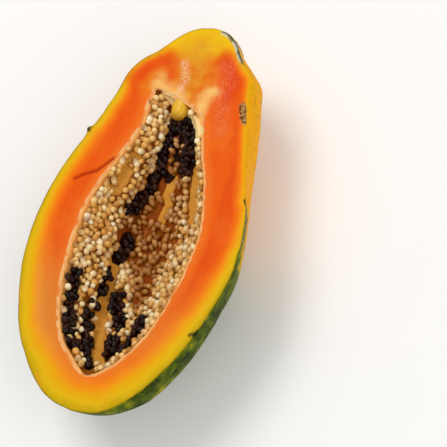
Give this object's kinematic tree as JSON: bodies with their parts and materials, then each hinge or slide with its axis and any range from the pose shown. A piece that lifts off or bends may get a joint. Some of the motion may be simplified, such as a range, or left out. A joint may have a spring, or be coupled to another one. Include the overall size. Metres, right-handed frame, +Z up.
{
  "type": "halved papaya",
  "caption": "Half of a ripe papaya cut lengthwise, with a seed-lined hollow, lying on its back with the cut face up.",
  "frame": {"origin": "on the surface the fruit lies on, under the middle of its length and width", "axes": "+Y towards the stem end, +Z up out of the cut face, +X to the right across the cut face with the stem end pointing away"},
  "size_m": [0.1648, 0.304, 0.0799],
  "materials": {
    "flesh": "moist cut flesh under a waxy yellow-green skin",
    "pale_seeds": "wet, cream coloured",
    "dark_seeds": "wet, grey-black"
  },
  "bodies": {
    "root": {"flesh_and_skin": "flesh", "lining_and_pale_seeds": "pale_seeds", "dark_seeds_stem_end": "dark_seeds", "dark_seeds_middle": "dark_seeds", "dark_seeds_blossom_left": "dark_seeds", "dark_seeds_blossom_right": "dark_seeds"}
  },
  "joints": []
}
